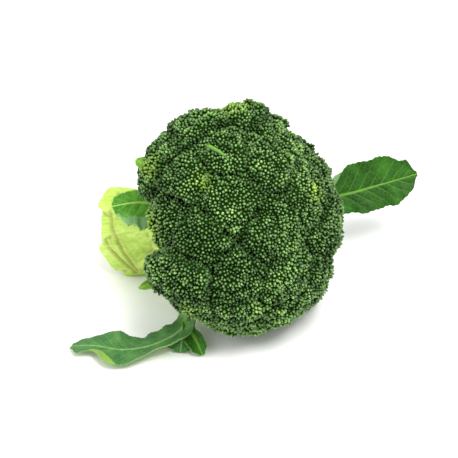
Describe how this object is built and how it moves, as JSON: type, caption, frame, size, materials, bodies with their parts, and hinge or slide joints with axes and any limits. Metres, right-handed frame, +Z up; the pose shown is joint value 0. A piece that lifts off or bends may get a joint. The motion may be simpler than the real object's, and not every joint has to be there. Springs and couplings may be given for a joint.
{
  "type": "broccoli head",
  "caption": "Freshly cut head of broccoli lying on its side: a domed crown of budded florets on a thick pale stalk, with a few stalk leaves.",
  "frame": {"origin": "middle of the object's box, on the table it lies on", "axes": "+Z up from the table, +X the way the crown faces in plan, so the stalk's cut end points to -X; +Y across the stalk, towards the long leaf"},
  "size_m": [0.1735, 0.2412, 0.1437],
  "materials": {
    "floret": "tight waxy green buds, matte with a faint sheen",
    "stalk": "pale yellow-green waxy skin, fibrous where cut",
    "leaf": "dark green satin leaf with pale veins",
    "leaf_pale": "paler blue-green matte leaf"
  },
  "bodies": {
    "root": {"stalk": "stalk", "floret_01": "floret", "floret_02": "floret", "floret_03": "floret", "floret_04": "floret", "floret_05": "floret", "floret_06": "floret", "floret_07": "floret", "floret_08": "floret", "floret_09": "floret", "floret_10": "floret", "floret_11": "floret", "floret_12": "floret", "floret_13": "floret", "floret_14": "floret", "floret_15": "floret", "floret_16": "floret", "floret_17": "floret", "floret_18": "floret", "floret_19": "floret", "floret_20": "floret", "floret_21": "floret", "floret_22": "floret", "floret_23": "floret", "floret_24": "floret", "floret_25": "floret", "floret_26": "floret", "floret_27": "floret", "floret_28": "floret", "floret_29": "floret", "floret_30": "floret", "floret_31": "floret", "floret_32": "floret", "floret_33": "floret", "floret_34": "floret", "leaf_right": "leaf", "leaf_left": "leaf", "leaf_lower": "leaf_pale"}
  },
  "joints": []
}
